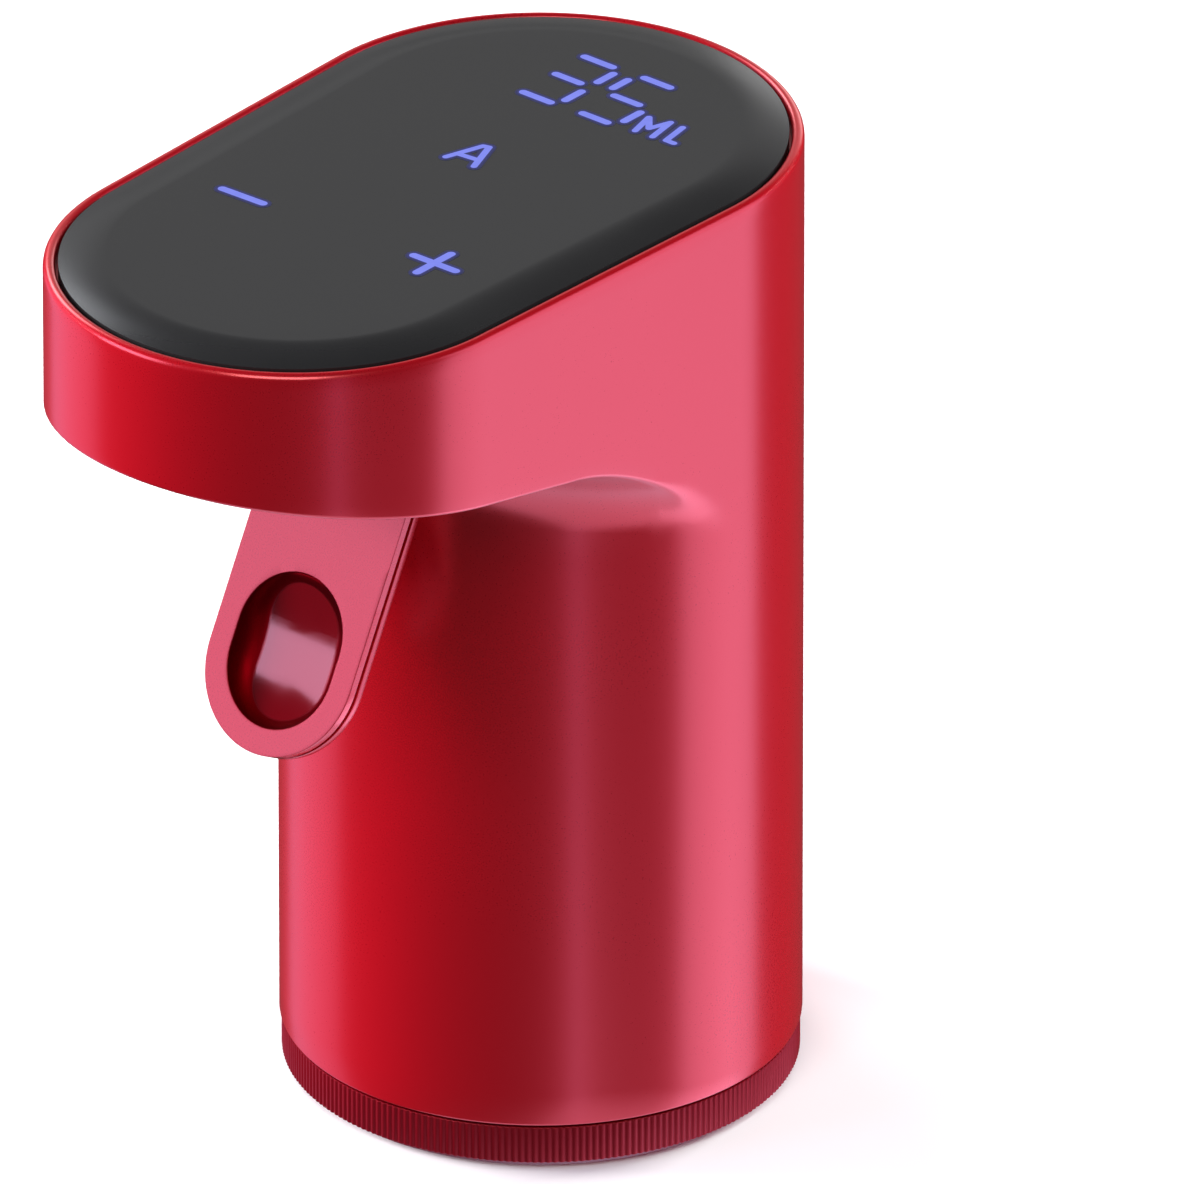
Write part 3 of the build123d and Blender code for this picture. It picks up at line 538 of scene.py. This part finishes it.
def strokeMesh(name, groups, low, high):
    # every stroke is a bar with round ends: half circles about its two ends, carried from low to high
    lines = np.concatenate([np.array(lines, float) for lines, width in groups])
    half = np.concatenate([np.full(len(lines), width / 2) for lines, width in groups])[:, None]
    along = np.arctan2(lines[:, 3] - lines[:, 1], lines[:, 2] - lines[:, 0])[:, None]
    bend = np.linspace(-math.pi / 2, math.pi / 2, marks["endSteps"])[None]
    x = np.concatenate([lines[:, 2:3] + half * np.cos(along + bend), lines[:, 0:1] - half * np.cos(along + bend)], 1)
    y = np.concatenate([lines[:, 3:4] + half * np.sin(along + bend), lines[:, 1:2] - half * np.sin(along + bend)], 1)
    count, ends = x.shape
    lift = np.arange(count)[:, None] * marks["step"] * np.ones(ends)  # no two tops in one plane
    points = np.stack([np.stack([x, y, lift + z], -1) for z in (low, high)], 1)
    first = np.arange(count)[:, None] * 2 * ends
    i = np.arange(ends)[None]
    j = (i + 1) % ends
    walls = np.stack([first + i, first + j, first + ends + j, first + ends + i], -1).reshape(-1, 4).tolist()
    tops = (first + ends + i).tolist()
    bases = (first + i[:, ::-1]).tolist()
    mesh = bpy.data.meshes.new(name)
    mesh.from_pydata((points.reshape(-1, 3) * mm).tolist(), [], walls + tops + bases)
    return mesh


def makeMarks():
    start = shell["rimZ"] + marks["base"]
    for name, finish, extra, low, high, bright, dim, strength in marks["layers"]:
        groups = [(marks["digits"], marks["digit"] + extra), (marks["letters"], marks["letter"] + extra),
                  (marks["signs"], marks["sign"] + extra)]
        mesh = strokeMesh(name, groups, start + low, start + high)
        addPiece(name, mesh, "housing", sharp=30)
        mesh.materials.append(glowFinish(finish, bright, dim, strength))
    print("marks: digits, letters and signs")


makeMarks()


# Lever face

def leverColumns():
    # round the dish: lower half circle, right side, upper half circle, left side, and the plate's edge beyond each
    corner = math.atan2(lever["shoulder"] - lever["dishLow"] - lever["dishRun"], lever["halfWidth"])
    low = np.linspace(math.pi, 2 * math.pi, lever["lowSteps"], endpoint=False)
    arcs = ((0, corner, lever["cornerSteps"]), (corner, math.pi - corner, lever["topSteps"]),
            (math.pi - corner, math.pi, lever["cornerSteps"]))
    high = np.concatenate([np.linspace(start, end, steps, endpoint=False) for start, end, steps in arcs])
    side = np.linspace(0, 1, lever["sideSteps"], endpoint=False)
    turn = np.concatenate([low, np.zeros(side.size), high, np.full(side.size, math.pi)])
    share = np.concatenate([np.zeros(low.size), side, np.ones(high.size), 1 - side])
    return turn, share


def leverEdge(turn, share, inset):
    # plate outline: a half circle below, straight sides, a square top
    half = lever["halfWidth"] - inset
    topCentre = lever["dishLow"] + lever["dishRun"]
    reach = np.minimum(half / np.maximum(np.abs(np.cos(turn)), 1e-6),
                       (lever["shoulder"] - inset - topCentre) / np.maximum(np.sin(turn), 1e-6))
    upper = np.where(share >= 1, reach, half)
    return upper * np.cos(turn), topCentre * share + upper * np.sin(turn)


def dishRing(turn, share, radius, longer=0.0):
    # half circles and straight sides; longer moves both half circles outwards along the lever
    middle = lever["dishLow"] - longer + (lever["dishRun"] + 2 * longer) * share
    return radius * np.cos(turn), middle + radius * np.sin(turn)


def makeLeverFace():
    # from the middle of the dish out over its floor, wall and lip, across the face, round the edge and back to the cup
    v = lever
    turn, share = leverColumns()
    rows, part = [], []

    def add(xy, height, scoop=0.0, dish=0.0):
        # the floor of the dish lifts with the square of the distance along the lever
        lift = scoop * (xy[1] - v["scoopY"]) ** 2 / (2 * v["scoopR"])
        rows.append(np.stack([xy[0], xy[1], height + lift], -1)[None])
        part.append(np.full(turn.size, dish))

    bend = np.linspace(0, math.pi / 2, v["bendRows"])  # small rounds take every third step
    flat = v["dishR"] - v["dishRound"]
    for k in v["floorRings"]:
        add(dishRing(turn, share, flat * k, v["floorLong"]), -v["dishDepth"], 1.0, 2.0)
    for b in bend:
        ring = dishRing(turn, share, flat + v["dishRound"] * math.sin(b), v["floorLong"] * (1 - math.sin(b)))
        add(ring, -v["dishDepth"] + v["dishRound"] * (1 - math.cos(b)), math.cos(b), 1 + max(0.0, 1 - b / bend[1]))
    for b in bend[::3]:
        add(dishRing(turn, share, v["dishR"] + v["lip"] * (1 - math.cos(b))), -v["lip"] * (1 - math.sin(b)),
            dish=math.cos(b))
    inner = dishRing(turn, share, v["dishR"] + v["lip"])
    outer = leverEdge(turn, share, v["edge"])
    for k in v["faceRings"]:
        add((inner[0] * (1 - k) + outer[0] * k, inner[1] * (1 - k) + outer[1] * k), 0.0)
    for b in bend[::3]:
        add(leverEdge(turn, share, v["edge"] * (1 - math.sin(b))), -v["edge"] * (1 - math.cos(b)), dish=-math.sin(b))
    add(leverEdge(turn, share, 0.0), -v["faceT"] + v["seam"], dish=-1.0)
    add(leverEdge(turn, share, v["seam"]), -v["faceT"], dish=-1.0)
    cup = v["dishR"] + v["dishWall"]
    cupRound = v["cupRound"]
    add(dishRing(turn, share, cup), -v["faceT"])
    for b in bend[::-1][::3]:
        ring = dishRing(turn, share, cup - cupRound + cupRound * math.sin(b))
        add(ring, cupRound * (1 - math.cos(b)) - v["cupDepth"])
    add(dishRing(turn, share, 0.0), -v["cupDepth"])
    rows = np.concatenate(rows)
    mesh = meshFrom("leverFace", rows, gridFaces(rows.shape[0], rows.shape[1], False))
    turnMesh(mesh, v["origin"], *leverAxes)
    mesh.attributes.new("dish", "FLOAT", "POINT").data.foreach_set("value", np.concatenate(part))
    closeUp(mesh)
    piece = addPiece("leverFace", mesh, "lever", sharp=42)
    evenNormals(piece)
    mesh.materials.append(leverPaint)
    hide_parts("lever_face")
    print("lever face:", len(mesh.polygons), "faces")


def leverFinish():
    # the body's paint, in a darker copy on the face as painted shade, with painted shade deeper still on the dish's
    # wall and floor;
    # the attribute is -1 on the outer edge, 0 on the face, 1 on the dish's duller wall and 2 on its polished floor
    paint = Finish("leverPaint", Specular_IOR_Level=0.5, Coat_Roughness=lever["coatRough"])
    dish = paint.add("ShaderNodeAttribute", {"attribute_name": "dish"}, out=2)

    def share(start, end):
        return paint.add("ShaderNodeMapRange", {}, {0: dish, 1: start, 2: end, 3: 0.0, 4: 1.0})

    side, wall, floor = share(0.0, -1.0), share(0.0, 1.0), share(1.0, 2.0)
    # painted shade: the face takes a darker copy of the body's paint
    red, grain = satinTone(paint, lever["face"], lever["faceDeep"])[:2]
    red = paint.mixColour(side, red, rgb(*lever["sideRed"]))
    # painted shade: the dish's wall and floor are darker than the face because the recess lies in shade
    red = paint.mixColour(wall, red, rgb(*lever["wallShade"]))
    paint.feed("Base Color", paint.mixColour(floor, red, rgb(*lever["dishShade"])))
    paint.feed("Roughness", lever["rough"] + grain * 0.06 + wall * 0.25 - floor * 0.38)
    paint.feed("Metallic", lever["metal"] + wall * 0.6 - floor * 0.6)
    paint.feed("Coat Weight", lever["coat"] + side * 0.65 - wall * 0.2 + floor * 0.6)
    return paint.material


leverPaint = leverFinish()
makeLeverFace()


# Twist collar

grip = {"outR": 28.75, "inR": 26.77, "low": 0.9, "high": 5.3, "ribs": 240, "ribH": 0.14, "perRib": 8,
        "wavePower": 1.6, "round": 0.12, "endSteps": 5, "red": (152, 5, 24), "redDeep": (134, 4, 20),
        "rough": 0.44, "metal": 0.55}


def makeGrip():
    # radius = outer radius less the rib height times a rounded wave of the angle; ends of the ribs are rounded
    g = grip
    turn = np.linspace(0, 2 * math.pi, g["ribs"] * g["perRib"], endpoint=False)
    wave = (0.5 - 0.5 * np.cos(turn * g["ribs"])) ** g["wavePower"]
    bend = np.linspace(0, math.pi / 2, g["endSteps"])
    tucks = np.concatenate([g["round"] * (1 - np.sin(bend)), g["round"] * (1 - np.sin(bend[::-1]))])
    heights = np.concatenate([g["low"] + g["round"] * (1 - np.cos(bend)),
                              g["high"] - g["round"] * (1 - np.cos(bend[::-1]))])
    outside = g["outR"] - g["ribH"] * wave[None] - tucks[:, None]
    radius = np.concatenate([np.full((1, turn.size), g["inR"]), outside, np.full((1, turn.size), g["inR"])])
    height = np.concatenate([[g["low"]], heights, [g["high"]]])[:, None] * np.ones(turn.size)
    rows = np.stack([radius * np.cos(turn), radius * np.sin(turn), height], -1)
    mesh = meshFrom("grip", rows, gridFaces(rows.shape[0], rows.shape[1], True))
    closeUp(mesh, 0.0005)
    piece = addPiece("grip", mesh, "collar", sharp=60)
    mesh.materials.append(paintFinish("gripRed", g["red"], g["redDeep"], g["rough"], metal=g["metal"]))
    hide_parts("collar_grip")
    print("grip:", len(mesh.polygons), "faces")


makeGrip()


# Finishes of the pieces that stay as CAD solids

cadEdges = {"weld": 0.002, "broken": 0.06, "brokenNodes": ("lever_arm", "spout_nozzle"),
            "bevelFrom": 40, "splitFrom": 32}  # lengths in millimetres, angles in degrees


def finishNode(name, material):
    # joined and shaded smooth, with crisp or slightly broken edges
    node = nodes[name]
    node.data.materials.clear()
    node.data.materials.append(material)
    node.data.polygons.foreach_set("use_smooth", np.ones(len(node.data.polygons), bool))
    weld = node.modifiers.new("weld", "WELD")
    weld.merge_threshold = cadEdges["weld"] * mm
    if name in cadEdges["brokenNodes"]:
        broken = node.modifiers.new("broken", "BEVEL")
        broken.width = cadEdges["broken"] * mm
        broken.segments = 2
        broken.limit_method = "ANGLE"
        broken.angle_limit = math.radians(cadEdges["bevelFrom"])
    split = node.modifiers.new("split", "EDGE_SPLIT")
    split.split_angle = math.radians(cadEdges["splitFrom"])


silicone = mouldedFinish("greySilicone", (92, 90, 90), 0.55, 1800.0)
blackSeal = mouldedFinish("blackSeal", (24, 24, 25), 0.5, 1800.0)
clearHose = mouldedFinish("milkyHose", (214, 212, 204), 0.35, 900.0)
framePlastic = mouldedFinish("framePlastic", (46, 47, 49), 0.5)
wellPlastic = mouldedFinish("wellPlastic", (120, 12, 28), 0.45)
collarPlastic = mouldedFinish("collarPlastic", (112, 12, 28), 0.45)
pumpPlastic = mouldedFinish("pumpPlastic", (206, 204, 196), 0.4)
spoutPlastic = mouldedFinish("spoutPlastic", (36, 36, 38), 0.35)
cellWrap = mouldedFinish("cellWrap", (38, 92, 66), 0.3)
digitBlock = mouldedFinish("digitBlock", (28, 28, 30), 0.25)
brass = metalFinish("turnedBrass", (196, 158, 88), 0.3)
steel = metalFinish("drawnSteel", (186, 188, 190), 0.28)
motorSteel = metalFinish("motorSteel", (150, 152, 156), 0.35, (1.0, 1.0, 12.0))
padCopper = metalFinish("padCopper", (205, 132, 92), 0.35, (1.0, 1.0, 1.0))
greenBoard = boardFinish("greenBoard")

cadFinishes = {
    "lever_arm": redPaint, "lock_collar": collarPlastic, "neck_well": wellPlastic, "neck_sleeve": silicone,
    "mouth_plug": silicone, "inlet_fitting": spoutPlastic, "fitting_nut": framePlastic, "spout_nozzle": spoutPlastic,
    "spout_seal": blackSeal, "panel_gasket": blackSeal, "pump_seal": blackSeal, "inlet_hose": clearHose,
    "outlet_hose": clearHose, "chassis": framePlastic, "battery_cell": cellWrap, "cell_tabs": steel,
    "main_board": greenBoard, "display_board": greenBoard, "digit_display": digitBlock, "touch_pads": padCopper,
    "usb_socket": steel, "motor_can": motorSteel, "motor_cap": framePlastic, "motor_armature": padCopper,
    "motor_shaft": steel, "drive_gear": brass, "idler_gear": brass, "idler_pin": steel, "pump_body": pumpPlastic,
    "pump_cover": pumpPlastic, "pump_screws": steel, "well_screws": steel, "board_screws": steel,
    "chassis_screws": steel, "lever_pin": steel, "lever_spring": steel, "switch_body": framePlastic,
    "switch_button": pumpPlastic,
}
for name, material in cadFinishes.items():
    finishNode(name, material)
print("CAD finishes:", len(cadFinishes))


# Floor, light and camera

stage = {"half": 0.5, "tone": (250, 250, 249), "toneLight": (252, 252, 251), "world": 0.048, "backdrop": 1.0,
         "middle": (0, -0.02, 0.06), "matt": ("leftKey", "rightKey"),
         "lights": [
             # name, azimuth and height of the direction in degrees, distance, width, height in metres, power, colour
             ("rightBox", 36.5, -8.0, 0.75, 0.55, 1.50, 3.45, (1.0, 0.88, 1.36)),
             ("leftStrip", 188.0, -8.0, 0.75, 0.58, 1.50, 1.15, (1.0, 0.80, 1.40)),
             ("frontStrip", -33.0, -8.0, 1.00, 0.10, 1.20, 0.22, (1.1, 0.70, 1.50)),
             ("leverBox", -127.0, 16.6, 0.80, 0.43, 0.43, 2.00, (0.95, 1.0, 1.45)),
             ("lowBox", 5.0, -72.0, 0.75, 1.20, 1.10, 4.80, (1.0, 0.90, 1.30)),
             ("leftKey", 205.0, 13.0, 1.10, 0.60, 0.40, 28.5, (1.0, 1.0, 1.0)),
             ("rightKey", 75.0, 12.0, 1.10, 0.60, 0.40, 25.0, (1.0, 1.0, 1.0)),
             ("frontKey", -60.0, 45.0, 1.10, 0.60, 0.60, 5.9, (1.0, 1.0, 1.0)),
             ("backBox", 130.0, 26.0, 1.20, 1.20, 0.45, 0.68, (1.0, 1.0, 1.0)),
             ("leftBack", 163.0, 34.0, 1.20, 0.42, 0.45, 2.6, (0.97, 1.0, 1.06)),
             ("rightBack", 110.0, 12.0, 1.20, 0.50, 0.35, 0.70, (1.0, 1.0, 1.0)),
             ("backStrip", 130.0, 4.0, 1.20, 1.20, 0.30, 0.24, (1.0, 1.0, 1.0))]}


def makeStage():
    half = stage["half"]
    mesh = bpy.data.meshes.new("floor")
    mesh.from_pydata([(-half, -half, 0), (half, -half, 0), (half, half, 0), (-half, half, 0)], [], [(0, 1, 2, 3)])
    floor = bpy.data.objects.new("floor", mesh)
    bpy.context.scene.collection.objects.link(floor)
    pale = Finish("paleFloor", Roughness=0.8, Specular_IOR_Level=0.1)
    haze = pale.noise(2.0)
    pale.feed("Base Color", pale.mixColour(haze, rgb(*stage["tone"]), rgb(*stage["toneLight"])))
    mesh.materials.append(pale.material)
    floor.visible_glossy = False  # the paint is lit by the softboxes alone, whose lower ends reach below the floor
    floor.visible_diffuse = False
    floor.visible_shadow = False
    world = bpy.data.worlds.new("studio")
    world.use_nodes = True
    sky = world.node_tree
    seen = Wire(sky, sky.nodes.new("ShaderNodeLightPath").outputs["Is Camera Ray"])
    level = seen * (stage["backdrop"] - stage["world"]) + stage["world"]  # pale behind the floor, dim as a light
    sky.nodes["Background"].inputs["Color"].default_value = (1, 1, 1, 1)
    sky.links.new(level.socket, sky.nodes["Background"].inputs["Strength"])
    bpy.context.scene.world = world


def makeLights():
    middle = Vector(stage["middle"])
    for name, azimuth, height, distance, width, tall, power, colour in stage["lights"]:
        a, h = math.radians(azimuth), math.radians(height)
        toward = Vector((math.cos(a) * math.cos(h), math.sin(a) * math.cos(h), math.sin(h)))
        data = bpy.data.lights.new(name, "AREA")
        data.shape = "RECTANGLE"
        data.size = width
        data.size_y = tall
        data.energy = power
        data.color = colour
        lamp = bpy.data.objects.new(name, data)
        lamp.location = middle + toward * distance
        lamp.rotation_euler = toward.to_track_quat("Z", "Y").to_euler()
        lamp.visible_camera = False
        lamp.visible_glossy = name not in stage["matt"]  # the keys colour the paint and leave no highlight
        bpy.context.scene.collection.objects.link(lamp)


view = {"azimuth": 40.26, "elevation": 27.67, "lens": 1200.0, "sensor": 36.0, "far": 50.0,
        # in metres: the frame's width at the object, and where the frame's middle is
        "width": 0.132277, "right": 0.00655, "up": -0.000931, "aimZ": 0.058}


def makeCamera():
    a, e = math.radians(view["azimuth"]), math.radians(view["elevation"])
    right = Vector((math.cos(a), math.sin(a), 0))
    up = Vector((-math.sin(e) * math.sin(a), math.sin(e) * math.cos(a), math.cos(e)))
    toward = Vector((math.sin(a) * math.cos(e), -math.cos(a) * math.cos(e), math.sin(e)))
    data = bpy.data.cameras.new("camera")
    data.lens = view["lens"]
    data.sensor_width = view["sensor"]
    data.clip_end = view["far"]
    camera = bpy.data.objects.new("camera", data)
    aim = Vector((0, 0, view["aimZ"])) + right * view["right"] + up * view["up"]
    camera.location = aim + toward * (view["width"] * view["lens"] / view["sensor"])
    camera.rotation_euler = toward.to_track_quat("Z", "Y").to_euler()
    bpy.context.scene.collection.objects.link(camera)
    bpy.context.scene.camera = camera
    bpy.context.scene.view_settings.view_transform = "Standard"


makeStage()
makeLights()
makeCamera()
print("stage, lights and camera set")
